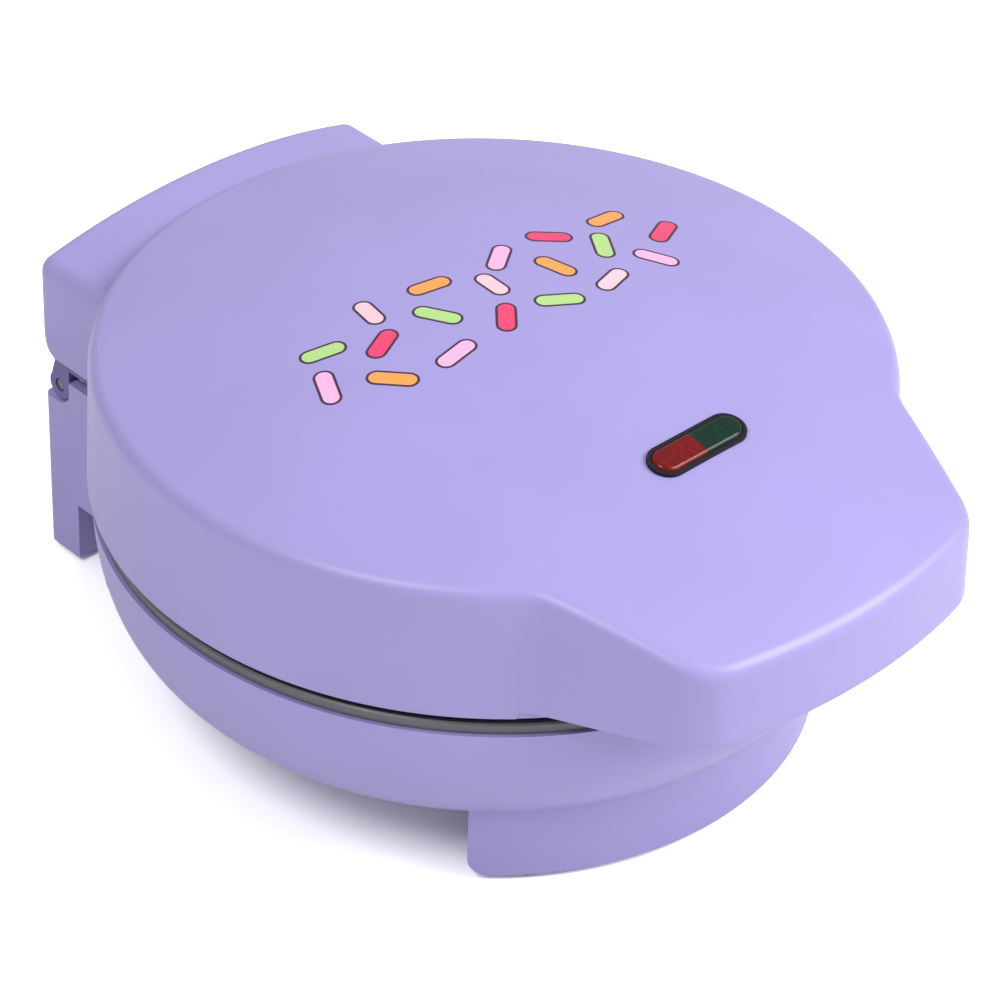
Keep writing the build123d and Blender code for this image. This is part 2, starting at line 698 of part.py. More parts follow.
with BuildPart() as base_shell:
    with BuildSketch(radial(0)):
        add(bowl_profile(0, base_rim_z))
    revolve(axis=disc_axis)
    add(front_foot_form.part)
    add(rear_block_form.part)
    # hollow of the bowl
    with BuildSketch(radial(0)):
        add(bowl_profile(base_wall, base_rim_z + 2))
    revolve(axis=disc_axis, mode=Mode.SUBTRACT)
    # hollow of the front foot
    with BuildSketch(radial(-90 - foot_half_deg + 2.2)):
        with BuildLine():
            Polyline(
                (foot_in_r + 2.8, body_low_z + 1), (foot_r_top - 3.4, body_low_z + 1),
                (foot_r_bottom - 2.8, foot_z + 4.0), (foot_in_r + 2.8, foot_z + 4.0), close=True,
            )
        make_face()
    revolve(axis=disc_axis, revolution_arc=2 * foot_half_deg - 4.4, mode=Mode.SUBTRACT)
    # hollow of the rear block, open to the bowl
    with BuildSketch(level(block_under_z + 3)):
        with Locations((0, 104)):
            Rectangle(90, 38)
    extrude(amount=base_rim_z - block_under_z - 5.8, mode=Mode.SUBTRACT)
    with BuildSketch(level(foot_z + 3.5)):
        with Locations((-39, 119), (39, 119)):
            Rectangle(12, 8)
    extrude(amount=30, mode=Mode.SUBTRACT)
    # bosses for the hinge pins inside the block
    for x0 in (-45.5, 33.0):
        with BuildSketch(side(x0)):
            with Locations((hinge_y - 0.2, hinge_z - 1.0)):
                Rectangle(10.6, 9.0)
        extrude(amount=12.5)
    # recesses that the hinge arms turn in, open upward and to the rear
    for x0 in (-60.0, arm_x0 - 0.4):
        with BuildSketch(side(x0)):
            with Locations((hinge_y, hinge_z)):
                Circle(knuckle_r + 0.8)
            with BuildLine():
                Polyline(
                    (hinge_y - knuckle_r - 0.8, hinge_z), (hinge_y - knuckle_r - 0.8, 70),
                    (hinge_y + 12, 70), (hinge_y + 12, hinge_z - knuckle_r - 0.8),
                    (hinge_y, hinge_z - knuckle_r - 0.8), (hinge_y, hinge_z), close=True,
                )
            make_face()
        extrude(amount=60.0 - arm_x0 + 0.4, mode=Mode.SUBTRACT)
    for x0 in (-52.0, 34.5):
        with BuildSketch(side(x0)):
            with Locations((hinge_y, hinge_z)):
                Circle(pin_r + 0.03)
        extrude(amount=17.5, mode=Mode.SUBTRACT)
    # posts that the lower baking plate is screwed to
    for deg in plate_screw_deg:
        px, py = polar(plate_screw_r, deg)
        rx, ry = polar(plate_screw_r + 5.5, deg)
        with BuildSketch(level(44)):
            with Locations((px, py)):
                Circle(4.5)
            with Locations(Location((rx, ry), deg)):
                Rectangle(11, 2.6)
        extrude(amount=lower_face - flange_t - 44)
    with BuildSketch(level(46)):
        with Locations(*[polar(plate_screw_r, deg) for deg in plate_screw_deg]):
            Circle(1.8)
    extrude(amount=30, mode=Mode.SUBTRACT)
    # opening in the bottom, closed by the base cover
    with BuildSketch(level(15)):
        Circle(66)
        with Locations(*[polar(71, 45 + 90 * i) for i in range(4)]):
            Circle(1.5)
    extrude(amount=15, mode=Mode.SUBTRACT)
    # cable inlet in the rear wall
    with BuildSketch(Plane(origin=(0, disc_y + 130, 40), x_dir=(1, 0, 0), z_dir=(0, -1, 0))):
        Circle(6.0)
    extrude(amount=12, mode=Mode.SUBTRACT)
    # sockets for the rubber feet
    with BuildSketch(level(foot_z - 1)):
        with Locations(polar(88.6, -90 - 36), polar(88.6, -90 + 36), (-45, 116.4), (45, 116.4)):
            Circle(2.0)
    extrude(amount=3.6, mode=Mode.SUBTRACT)
base_shell.part.label = "base_shell"
export_step(base_shell.part, "parts/base_shell.step")

with BuildPart() as rubber_feet:
    foot_spots = [polar(88.6, -90 - 36), polar(88.6, -90 + 36), (-45, 116.4), (45, 116.4)]
    with BuildSketch(level(0)):
        with Locations(*foot_spots):
            Circle(4.4)
    extrude(amount=foot_z)
    chamfer(rubber_feet.faces().filter_by(Axis.Z).group_by(Axis.Z)[0].edges(), length=0.5)
    with BuildSketch(level(foot_z)):
        with Locations(*foot_spots):
            Circle(1.9)
    extrude(amount=2.4)
rubber_feet.part.label = "rubber_feet"
export_step(rubber_feet.part, "parts/rubber_feet.step")

with BuildPart() as base_cover:
    with BuildSketch(level(20.2)):
        Circle(76)
        with Locations(*[polar(71, 45 + 90 * i) for i in range(4)]):
            Circle(1.8, mode=Mode.SUBTRACT)
        with PolarLocations(34, 12):
            SlotOverall(22, 3.2, mode=Mode.SUBTRACT)
        with PolarLocations(56, 16):
            SlotOverall(14, 3.2, mode=Mode.SUBTRACT)
    extrude(amount=1.8)
    fillet(base_cover.faces().sort_by(Axis.Z)[0].outer_wire().edges(), radius=1.0)
base_cover.part.label = "base_cover"
export_step(base_cover.part, "parts/base_cover.step")

with BuildPart() as base_cover_screws:
    spots = [polar(71, 45 + 90 * i) for i in range(4)]
    with BuildSketch(level(18.6)):
        with Locations(*spots):
            Circle(3.0)
    extrude(amount=1.6)
    with BuildSketch(level(20.2)):
        with Locations(*spots):
            Circle(1.4)
    extrude(amount=8)
    with BuildSketch(level(18.6)):
        with Locations(*spots):
            Rectangle(3.2, 0.7)
            Rectangle(0.7, 3.2)
    extrude(amount=0.9, mode=Mode.SUBTRACT)
base_cover_screws.part.label = "base_cover_screws"
export_step(base_cover_screws.part, "parts/base_cover_screws.step")

# ---------------------------------------------------------------------------
# Electrical pieces in the base
# ---------------------------------------------------------------------------
with BuildPart() as cord_gland:
    with BuildSketch(Plane(origin=(0, disc_y + block_rear_y + 0.8, 40), x_dir=(1, 0, 0), z_dir=(0, -1, 0))):
        Circle(8.0)
        Circle(3.6, mode=Mode.SUBTRACT)
    extrude(amount=0.8)
    with BuildSketch(Plane(origin=(0, disc_y + block_rear_y, 40), x_dir=(1, 0, 0), z_dir=(0, -1, 0))):
        Circle(5.9)
        Circle(3.6, mode=Mode.SUBTRACT)
    extrude(amount=7.2)
cord_gland.part.label = "cord_gland"
export_step(cord_gland.part, "parts/cord_gland.step")

with BuildPart() as terminal_block:
    with BuildSketch(level(24.2)):
        with Locations((0, 101)):
            RectangleRounded(30, 13, 1.2)
    extrude(amount=11)
    with BuildSketch(level(35.2)):
        with Locations((-10, 101), (0, 101), (10, 101)):
            Circle(2.6)
    extrude(amount=-5, mode=Mode.SUBTRACT)
terminal_block.part.label = "terminal_block"
export_step(terminal_block.part, "parts/terminal_block.step")

with BuildPart() as thermostat:
    tx, ty = polar(39, 30)
    with BuildSketch(Plane(origin=(tx, disc_y + ty, lower_face - flange_t))):
        Circle(8.0)
    extrude(amount=-4)
    with BuildSketch(Plane(origin=(tx, disc_y + ty, lower_face - flange_t - 4))):
        Circle(6.6)
    extrude(amount=-6)
    with BuildSketch(Plane(origin=(tx, disc_y + ty, lower_face - flange_t - 10))):
        with Locations((-3.2, 0), (3.2, 0)):
            Rectangle(0.8, 5)
    extrude(amount=-6)
thermostat.part.label = "thermostat"
export_step(thermostat.part, "parts/thermostat.step")

with BuildPart() as thermal_fuse:
    fx, fy = polar(39, 150)
    with BuildSketch(Plane(origin=(fx - 7, disc_y + fy, lower_face - flange_t - 2.6), x_dir=(0, 1, 0), z_dir=(1, 0, 0))):
        Circle(2.4)
    extrude(amount=14)
    fillet(thermal_fuse.edges().filter_by(GeomType.CIRCLE), radius=0.6)
thermal_fuse.part.label = "thermal_fuse"
export_step(thermal_fuse.part, "parts/thermal_fuse.step")
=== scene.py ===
import math

import bmesh
import bpy
from mathutils import Vector, Matrix


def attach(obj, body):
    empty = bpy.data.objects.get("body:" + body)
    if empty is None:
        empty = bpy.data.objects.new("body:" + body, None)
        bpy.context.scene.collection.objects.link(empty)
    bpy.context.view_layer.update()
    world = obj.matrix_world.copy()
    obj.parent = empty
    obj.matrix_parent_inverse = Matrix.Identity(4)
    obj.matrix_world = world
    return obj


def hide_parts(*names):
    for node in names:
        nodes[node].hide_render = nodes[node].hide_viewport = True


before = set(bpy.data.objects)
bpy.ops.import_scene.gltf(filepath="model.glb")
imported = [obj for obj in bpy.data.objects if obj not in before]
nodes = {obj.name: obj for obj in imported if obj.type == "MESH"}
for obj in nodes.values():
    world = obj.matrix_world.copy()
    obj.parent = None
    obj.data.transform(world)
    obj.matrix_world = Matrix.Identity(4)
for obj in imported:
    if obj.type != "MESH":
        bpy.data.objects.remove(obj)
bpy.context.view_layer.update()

MM = 0.001
DISC_Y = 6.4  # the middle of the round plates stands this far behind the origin, in mm


# ---------------------------------------------------------------------------
# Small helpers
# ---------------------------------------------------------------------------
def lin(r, g, b):
    """sRGB 0-255 to linear RGBA."""
    out = []
    for c in (r, g, b):
        c = c / 255
        out.append(c / 12.92 if c <= 0.04045 else ((c + 0.055) / 1.055) ** 2.4)
    return (*out, 1.0)


def scaled(c, k):
    return (min(1, c[0] * k), min(1, c[1] * k), min(1, c[2] * k), 1.0)


def make_object(name, verts, faces, sharp_deg=35):
    """Mesh from points in mm, centred on the round plates."""
    mesh = bpy.data.meshes.new(name)
    mesh.from_pydata([(x * MM, (y + DISC_Y) * MM, z * MM) for x, y, z in verts], [], faces)
    mesh.validate()
    mesh.update()
    mesh.shade_smooth()
    mesh.set_sharp_from_angle(angle=math.radians(sharp_deg))
    obj = bpy.data.objects.new(name, mesh)
    bpy.context.scene.collection.objects.link(obj)
    return obj


class Build:
    """Collects points and faces of one mesh."""

    def __init__(self):
        self.v, self.f = [], []

    def row(self, pts):
        n = len(self.v)
        self.v += [tuple(p) for p in pts]
        return list(range(n, n + len(pts)))

    def skin(self, a, b, closed=True, flip=False):
        m = len(a)
        for i in range(m if closed else m - 1):
            j = (i + 1) % m
            q = (a[i], a[j], b[j], b[i])
            self.f.append(q[::-1] if flip else q)

    def fan(self, ring, centre, flip=False):
        (c,) = self.row([centre])
        m = len(ring)
        for i in range(m):
            q = (ring[i], ring[(i + 1) % m], c)
            self.f.append(q[::-1] if flip else q)

    def prism(self, loop, z0, z1):
        """Closed upright prism over a counter-clockwise loop of (x, y)."""
        lo = self.row([(x, y, z0) for x, y in loop])
        hi = self.row([(x, y, z1) for x, y in loop])
        self.skin(lo, hi)
        self.f.append(tuple(hi))
        self.f.append(tuple(lo[::-1]))


# ---------------------------------------------------------------------------
# Materials, all procedural, in object coordinates (metres)
# ---------------------------------------------------------------------------
class Mat:
    def __init__(self, name):
        self.m = bpy.data.materials.new(name)
        self.m.use_nodes = True
        self.t = self.m.node_tree
        self.b = next(n for n in self.t.nodes if n.type == "BSDF_PRINCIPLED")
        self.xyz = self.t.nodes.new("ShaderNodeTexCoord").outputs["Object"]

    def noise(self, scale, detail=3.0, rough=0.5, stretch=None):
        src = self.xyz
        if stretch:
            mp = self.t.nodes.new("ShaderNodeMapping")
            mp.inputs["Scale"].default_value = stretch
            self.t.links.new(src, mp.inputs["Vector"])
            src = mp.outputs["Vector"]
        n = self.t.nodes.new("ShaderNodeTexNoise")
        n.inputs["Scale"].default_value = scale
        n.inputs["Detail"].default_value = detail
        n.inputs["Roughness"].default_value = rough
        self.t.links.new(src, n.inputs["Vector"])
        return n.outputs["Fac"]

    def ramp(self, fac, stops):
        r = self.t.nodes.new("ShaderNodeValToRGB")
        e = r.color_ramp.elements
        e[0].position, e[0].color = stops[0]
        e[1].position, e[1].color = stops[-1]
        for p, c in stops[1:-1]:
            x = e.new(p)
            x.color = c
        self.t.links.new(fac, r.inputs["Fac"])
        return r.outputs["Color"]

    def span(self, fac, lo, hi, f0=0.3, f1=0.7):
        r = self.t.nodes.new("ShaderNodeMapRange")
        r.inputs["From Min"].default_value = f0
        r.inputs["From Max"].default_value = f1
        r.inputs["To Min"].default_value = lo
        r.inputs["To Max"].default_value = hi
        self.t.links.new(fac, r.inputs["Value"])
        return r.outputs["Result"]

    def mix(self, fac, a, b):
        x = self.t.nodes.new("ShaderNodeMix")
        x.data_type = "RGBA"
        self.t.links.new(fac, x.inputs["Factor"])
        for key, val in (("A", a), ("B", b)):
            sock = next(s for s in x.inputs if s.name == key and s.type == "RGBA")
            if isinstance(val, tuple):
                sock.default_value = val
            else:
                self.t.links.new(val, sock)
        return next(s for s in x.outputs if s.type == "RGBA")

    def math(self, op, a, b=None):
        x = self.t.nodes.new("ShaderNodeMath")
        x.operation = op
        for i, val in enumerate((a, b)):
            if val is None:
                continue
            if isinstance(val, (int, float)):
                x.inputs[i].default_value = val
            else:
                self.t.links.new(val, x.inputs[i])
        return x.outputs[0]

    def part(self, axis):
        s = self.t.nodes.new("ShaderNodeSeparateXYZ")
        self.t.links.new(self.xyz, s.inputs[0])
        return s.outputs[axis]

    def radius(self):
        """Distance from the upright axis of the round plates."""
        y = self.math("SUBTRACT", self.part("Y"), DISC_Y * MM)
        x = self.part("X")
        return self.math("SQRT", self.math("ADD", self.math("MULTIPLY", x, x), self.math("MULTIPLY", y, y)))

    def colour(self, c):
        if isinstance(c, tuple):
            self.b.inputs["Base Color"].default_value = c
        else:
            self.t.links.new(c, self.b.inputs["Base Color"])

    def rough(self, r):
        if isinstance(r, (int, float)):
            self.b.inputs["Roughness"].default_value = r
        else:
            self.t.links.new(r, self.b.inputs["Roughness"])

    def bump(self, height, distance, strength=1.0, under=None):
        n = self.t.nodes.new("ShaderNodeBump")
        n.inputs["Strength"].default_value = strength
        n.inputs["Distance"].default_value = distance
        self.t.links.new(height, n.inputs["Height"])
        if under is not None:
            self.t.links.new(under, n.inputs["Normal"])
        self.t.links.new(n.outputs["Normal"], self.b.inputs["Normal"])
        return n.outputs["Normal"]

    def set(self, **kw):
        for k, v in kw.items():
            self.b.inputs[k.replace("_", " ")].default_value = v


def moulded_plastic(name, base, rough=0.40, grain=0.00002, spread=0.03):
    """Satin injection-moulded plastic: slight cloudiness, a very fine grain and faint unevenness of the gloss."""
    m = Mat(name)
    cloud = m.noise(26, 3, 0.55)
    m.colour(m.ramp(cloud, [(0.25, scaled(base, 1 - spread)), (0.75, scaled(base, 1 + spread))]))
    m.rough(m.span(m.noise(60, 4, 0.6), rough - 0.025, rough + 0.025))
    broad = m.bump(m.noise(55, 2, 0.4), 0.00006, 0.35)
    m.bump(m.noise(2600, 2, 0.5), grain, 0.5, broad)
    return m


LILAC = (0.264, 0.228, 0.485, 1)
lilac = moulded_plastic("lilac_satin_plastic", LILAC)
under = moulded_plastic("lilac_underside_plastic", (0.240, 0.207, 0.440, 1), rough=0.5, grain=0.00004)

dark = moulded_plastic("dark_grained_plastic", lin(24, 22, 28), rough=0.46, grain=0.00005, spread=0.2)
dark.set(Specular_IOR_Level=0.2)
# hinge arms: lilac plastic painted dark purple, a painted shade that stands for the deep shadow in the hinge recess
arm = moulded_plastic("hinge_arm_painted_shade_plastic", (0.105, 0.085, 0.250, 1), rough=0.5, grain=0.00005, spread=0.12)

rubber = Mat("matt_rubber")
rubber.colour(rubber.ramp(rubber.noise(300, 4), [(0.3, lin(26, 26, 28)), (0.75, lin(44, 44, 46))]))
rubber.rough(rubber.span(rubber.noise(900, 3), 0.72, 0.88))
rubber.bump(rubber.noise(3000, 3), 0.00008, 0.6)

# baking plates: dark coating with fine sparkle, a lighter grey on the outer edge
plate = Mat("non_stick_coating")
speck = plate.noise(4200, 2, 0.6)
coat = plate.ramp(speck, [(0.35, lin(44, 44, 48)), (0.6, lin(58, 58, 63)), (0.78, lin(92, 92, 97))])
rim = plate.span(plate.radius(), 0.0, 1.0, 0.1074, 0.1079)
plate.colour(plate.mix(rim, coat, lin(84, 84, 90)))
plate.rough(plate.span(plate.noise(130, 4), 0.33, 0.45))
plate.bump(plate.noise(1900, 3, 0.6), 0.00006, 0.6)
plate.set(Metallic=0.15)

element = Mat("heat_dulled_steel")
stain = element.noise(45, 5, 0.65)
element.colour(element.ramp(stain, [(0.3, lin(96, 84, 78)), (0.55, lin(140, 132, 126)), (0.8, lin(110, 104, 122))]))
element.rough(element.span(element.noise(420, 4), 0.38, 0.6))
element.bump(element.noise(1400, 3), 0.00005, 0.5)
element.set(Metallic=0.9)

sheet = Mat("mill_aluminium")
roll = sheet.noise(60, 5, 0.6, stretch=(30, 1, 1))
sheet.colour(sheet.ramp(roll, [(0.3, lin(196, 197, 202)), (0.7, lin(222, 223, 227))]))
sheet.rough(sheet.span(roll, 0.26, 0.42))
sheet.bump(roll, 0.00002, 0.4)
sheet.set(Metallic=1.0)

zinc = Mat("zinc_plated_steel")
zinc.colour(zinc.ramp(zinc.noise(700, 4), [(0.3, lin(168, 170, 176)), (0.7, lin(206, 207, 212))]))
zinc.rough(zinc.span(zinc.noise(1500, 3), 0.24, 0.4))
zinc.bump(zinc.noise(2500, 2), 0.00002, 0.4)
zinc.set(Metallic=1.0)

pin = Mat("burnished_steel")
lay = pin.noise(500, 3, 0.5, stretch=(12, 1, 1))
pin.colour(pin.ramp(lay, [(0.3, lin(96, 94, 104)), (0.7, lin(124, 122, 132))]))
pin.rough(pin.span(lay, 0.3, 0.45))
pin.bump(lay, 0.00001, 0.4)
pin.set(Metallic=1.0)

ceramic = Mat("unglazed_ceramic")
ceramic.colour(ceramic.ramp(ceramic.noise(380, 5, 0.6), [(0.3, lin(222, 216, 204)), (0.7, lin(240, 236, 228))]))
ceramic.rough(ceramic.span(ceramic.noise(800, 3), 0.6, 0.8))
ceramic.bump(ceramic.noise(2400, 4), 0.00005, 0.6)


def lens_material(name, deep, bright):
    """Dyed plastic, nearly black where it is thick, with small prisms moulded inside it, polished outside."""
    m = Mat(name)
    v = m.t.nodes.new("ShaderNodeTexVoronoi")
    v.inputs["Scale"].default_value = 620
    m.t.links.new(m.xyz, v.inputs["Vector"])
    m.colour(m.ramp(v.outputs["Distance"], [(0.05, bright), (0.5, deep)]))
    m.rough(m.span(m.noise(400, 2), 0.16, 0.24))
    m.bump(m.noise(240, 2, 0.4), 0.00008, 0.5)
    m.set(IOR=1.5, Specular_IOR_Level=0.22, Coat_Weight=0.08, Coat_Roughness=0.06)
    return m


red = lens_material("red_lens_plastic", lin(92, 2, 5), lin(118, 5, 9))
green = lens_material("green_lens_plastic", lin(0, 34, 26), lin(2, 48, 35))

glass = Mat("lamp_glass")
glass.colour(glass.ramp(glass.noise(500, 2), [(0.3, lin(244, 232, 224)), (0.7, lin(252, 244, 238))]))
glass.rough(glass.span(glass.noise(900, 2), 0.03, 0.08))
glass.bump(glass.noise(700, 2), 0.00003, 0.3)
glass.set(IOR=1.47, Transmission_Weight=0.9)

BY_NODE = {
    "base_shell": lilac,
    "handle_cover": under,
    "base_cover": under,
    "rubber_feet": rubber,
    "lower_plate": plate,
    "upper_plate": plate,
    "lower_plate_screws": zinc,
    "upper_plate_screws": zinc,
    "lower_heating_element": element,
    "upper_heating_element": element,
    "lower_heat_shield": sheet,
    "upper_heat_shield": sheet,
    "lower_shield_bolts": zinc,
    "upper_shield_bolts": zinc,
    "base_cover_screws": zinc,
    "handle_cover_screws": zinc,
    "hinge_arm_screws": zinc,
    "hinge_pins": pin,
    # the hinge arms carry the painted recess shade
    "hinge_arms": arm,
    "thermostat": ceramic,
    "terminal_block": ceramic,
    "thermal_fuse": ceramic,
    "cord_gland": dark,
    "indicator_bezel": dark,
    "lamp_holder": dark,
    "indicator_lens_red": red,
    "indicator_lens_green": green,
    "indicator_lamps": glass,
    "lid_shell": lilac,
}
for name, obj in nodes.items():
    m = BY_NODE[name].m
    if obj.data.materials:
        for i in range(len(obj.data.materials)):
            obj.data.materials[i] = m
    else:
        obj.data.materials.append(m)

# ---------------------------------------------------------------------------
# Lid shell: domed top that runs on into the handle, rounded edge, leaning walls
# ---------------------------------------------------------------------------
LID_R = 111.3
RIM_Z = 69.6
DRAFT = math.radians(1.9)
EDGE_ROUND = 4.6
WALL = 2.8
HANDLE_LIFT = 2.7
HANDLE_RISE = math.tan(math.radians(5.5))
CORNER_R, ROOT_R = 20.0, 14.0
DOME_TOP = 124.6
DOME_R = (108.8**2 + 15.4**2) / (2 * 15.4)


def dome_z(r, drop=0.0):
    return DOME_TOP - DOME_R + math.sqrt((DOME_R - drop) ** 2 - r * r)


def arc_pts(c, r, a0, a1, n, hollow=False):
    """n + 1 points with outward normals along an arc, in degrees."""
    out = []
    for i in range(n + 1):
        a = math.radians(a0 + (a1 - a0) * i / n)
        u = (math.cos(a), math.sin(a))
        s = -1 if hollow else 1
        out.append(((c[0] + r * u[0], c[1] + r * u[1]), (s * u[0], s * u[1])))
    return out


def lid_loop():
    """Right half of the lid's lower edge from the rear (x = 0, +y) to the front (x = 0, -y), then mirrored: a clockwise loop of (point, normal)."""
    a = math.radians(21.0)
    n = (math.cos(a), -math.sin(a))
    p0 = (60.3, -110.0)
    d = (math.sin(a), math.cos(a))

    def on_offset(off, cx, cy, rad, pick):
        # point at distance off outward of the side line and rad from (cx, cy)
        bx, by = p0[0] + n[0] * off - cx, p0[1] + n[1] * off - cy
        b = bx * d[0] + by * d[1]
        c = bx * bx + by * by - rad * rad
        roots = [-b - math.sqrt(b * b - c), -b + math.sqrt(b * b - c)]
        t = pick(roots)
        return (p0[0] + n[0] * off + d[0] * t, p0[1] + n[1] * off + d[1] * t)

    front_c, front_r = (0.0, -139.6 + 168.0), 168.0
    c1 = on_offset(-CORNER_R, *front_c, front_r - CORNER_R, min)
    c2 = on_offset(ROOT_R, 0.0, 0.0, LID_R + ROOT_R, lambda r: min(r, key=lambda t: abs(t - 20)))
    ang = lambda v: math.degrees(math.atan2(v[1], v[0]))
    a_root = ang(c2)  # where the circle ends
    out = arc_pts((0, 0), LID_R, 90, a_root, 104)
    # hollow root fillet, seen from its own centre
    s0, s1 = ang((-c2[0], -c2[1])), ang((-n[0], -n[1]))
    while s1 - s0 > 180:
        s1 -= 360
    while s1 - s0 < -180:
        s1 += 360
    out += arc_pts(c2, ROOT_R, s0, s1, 16, hollow=True)[1:]
    e0 = (c2[0] - ROOT_R * n[0], c2[1] - ROOT_R * n[1])
    e1 = (c1[0] + CORNER_R * n[0], c1[1] + CORNER_R * n[1])
    for i in range(1, 14):
        t = i / 14
        out.append(((e0[0] + (e1[0] - e0[0]) * t, e0[1] + (e1[1] - e0[1]) * t), n))
    # front corner and front arc
    f = ang((c1[0] - front_c[0], c1[1] - front_c[1]))
    out += arc_pts(c1, CORNER_R, ang(n), f, 20)
    out += arc_pts(front_c, front_r, f, -90, 24)[1:]
    left = [((-p[0], p[1]), (-m[0], m[1])) for p, m in out[-2:0:-1]]
    return out + left


LOOP = lid_loop()


def at(i, u):
    (x, y), (nx, ny) = LOOP[i]
    return x + nx * u, y + ny * u


def edge_ball(i, rho, drop=0.0):
    """Centre (inset, height) of a ball of radius rho that touches the wall and the top, with the angle at which it
    touches the top.
    """
    (x, y), (nx, ny) = LOOP[i]
    ut = -rho * 1.4
    for _ in range(12):
        px, py = x + nx * ut, y + ny * ut
        r = math.hypot(px, py)
        zt = dome_z(r, drop)
        g = -((px * nx + py * ny) / r) * r / math.sqrt((DOME_R - drop) ** 2 - r * r)
        k = math.sqrt(1 + g * g)
        # line through (ut, zt) with slope g; wall: u = -(z - RIM_Z) tan(DRAFT)
        td, cd = math.tan(DRAFT), math.cos(DRAFT)
        # zc = zt + g (uc - ut) - rho k ; uc = -rho / cd - (zc - RIM_Z) td
        zc = (zt + g * (-rho / cd + RIM_Z * td - ut) - rho * k) / (1 + g * td)
        uc = -rho / cd - (zc - RIM_Z) * td
        ut = uc - g * rho / k
    return uc, zc, math.atan2(1 / k, -g / k)


lid = Build()
N = len(LOOP)
low_z = [
    RIM_Z if math.hypot(*LOOP[i][0]) <= LID_R + 0.02 else RIM_Z + HANDLE_LIFT - (LOOP[i][0][1] + 95) * HANDLE_RISE
    for i in range(N)
]
balls = [edge_ball(i, EDGE_ROUND) for i in range(N)]


def wall_point(i, z, inset=0.0):
    x, y = at(i, -inset - (z - RIM_Z) * math.tan(DRAFT))
    return (x, y, z)


outer = []
# small rounding where the wall meets the lower edge
for dz, du in ((0.0, 0.45), (0.13, 0.13), (0.45, 0.0)):
    outer.append(lid.row([wall_point(i, low_z[i] + dz, du) for i in range(N)]))
WALL_ROWS = 12
for k in range(1, WALL_ROWS + 1):
    t = k / WALL_ROWS
    pts = []
    for i in range(N):
        uc, zc, top = balls[i]
        z_top = zc + EDGE_ROUND * math.sin(DRAFT)
        z0 = low_z[i] + 0.45
        pts.append(wall_point(i, z0 + (z_top - z0) * t))
    outer.append(lid.row(pts))
ARC_ROWS = 12
for k in range(1, ARC_ROWS + 1):
    pts = []
    for i in range(N):
        uc, zc, top = balls[i]
        a = DRAFT + (top - DRAFT) * k / ARC_ROWS
        x, y = at(i, uc + EDGE_ROUND * math.cos(a))
        z = zc + EDGE_ROUND * math.sin(a)
        if k == ARC_ROWS:
            z = dome_z(math.hypot(x, y))
        pts.append((x, y, z))
    outer.append(lid.row(pts))
edge = [lid.v[j] for j in outer[-1]]
TOP_ROWS = 40
for k in range(1, TOP_ROWS):
    t = 1 - k / TOP_ROWS
    pts = []
    for x, y, z in edge:
        # the rings shrink evenly towards the middle
        s = t
        pts.append((x * s, y * s, dome_z(math.hypot(x * s, y * s))))
    outer.append(lid.row(pts))
for a, b in zip(outer, outer[1:]):
    lid.skin(a, b, flip=True)
lid.fan(outer[-1], (0, 0, DOME_TOP), flip=True)

# inside of the shell
inner = []
for dz, du in ((0.0, WALL - 0.3), (0.3, WALL)):
    inner.append(lid.row([wall_point(i, low_z[i] + dz, du) for i in range(N)]))
for k in range(1, 9):
    pts = []
    for i in range(N):
        z0 = low_z[i] + 0.3
        z1 = dome_z(math.hypot(*at(i, -4.2)), WALL) - 0.4
        z = z0 + (z1 - z0) * k / 8
        pts.append(wall_point(i, z, WALL))
    inner.append(lid.row(pts))
inner_edge = [lid.v[j] for j in inner[-1]]
for k in range(0, 24):
    s = (1 - k / 24) * (1.0 if k else 0.996)
    inner.append(lid.row([(x * s, y * s, dome_z(math.hypot(x * s, y * s), WALL)) for x, y, z in inner_edge]))
for a, b in zip(inner, inner[1:]):
    lid.skin(a, b)
lid.fan(inner[-1], (0, 0, DOME_TOP - WALL))
# lower edge between the two walls
lid.skin(outer[0], inner[0])
lid_part = make_object("lid_shell_cover", lid.v, lid.f, 40)

# opening for the indicator light, square to the dome
TILT = math.asin(76.0 / DOME_R)
light_at = Vector((0, -76.0, dome_z(76.0)))
light_up = Vector((0, -math.sin(TILT), math.cos(TILT)))
light_side = Vector((0, math.cos(TILT), math.sin(TILT)))


def slot_loop(length, width, n=16):
    r = width / 2
    h = length / 2 - r
    out = []
    for i in range(n + 1):
        a = -math.pi / 2 + math.pi * i / n
        out.append((h + r * math.cos(a), r * math.sin(a)))
    for i in range(n + 1):
        a = math.pi / 2 + math.pi * i / n
        out.append((-h + r * math.cos(a), r * math.sin(a)))
    return out


def on_light(x, y, up):
    p = light_at + Vector((x, 0, 0)) + light_side * y + light_up * up
    return (p.x, p.y, p.z)


cut = Build()
loop = slot_loop(33.2, 11.0)
lo = cut.row([on_light(x, y, -9) for x, y in loop])
hi = cut.row([on_light(x, y, 9) for x, y in loop])
cut.skin(lo, hi)
cut.f.append(tuple(hi))
cut.f.append(tuple(lo[::-1]))
cutter = make_object("light_cutter", cut.v, cut.f)
mod = lid_part.modifiers.new("opening", "BOOLEAN")
mod.operation = "DIFFERENCE"
mod.solver = "EXACT"
mod.object = cutter
dg = bpy.context.evaluated_depsgraph_get()
cut_mesh = bpy.data.meshes.new_from_object(lid_part.evaluated_get(dg))
lid_part.modifiers.clear()
lid_part.data = cut_mesh
bpy.data.objects.remove(cutter)
cut_mesh.shade_smooth()
cut_mesh.set_sharp_from_angle(angle=math.radians(40))

# hinge hood behind the lid: crowned top, curved rear wall, rounded corners
HOOD_HALF, HOOD_REAR, HOOD_TOP = 59.0, 126.8, 108.3
HOOD_CORNER = 5.0
crown_r = (61.0**2 + 8.774**2) / (2 * 8.774)
rear_r = (59.0**2 + 0.4**2) / (2 * 0.4)


def hood_top(x):
    return HOOD_TOP - crown_r + math.sqrt(crown_r**2 - x * x)


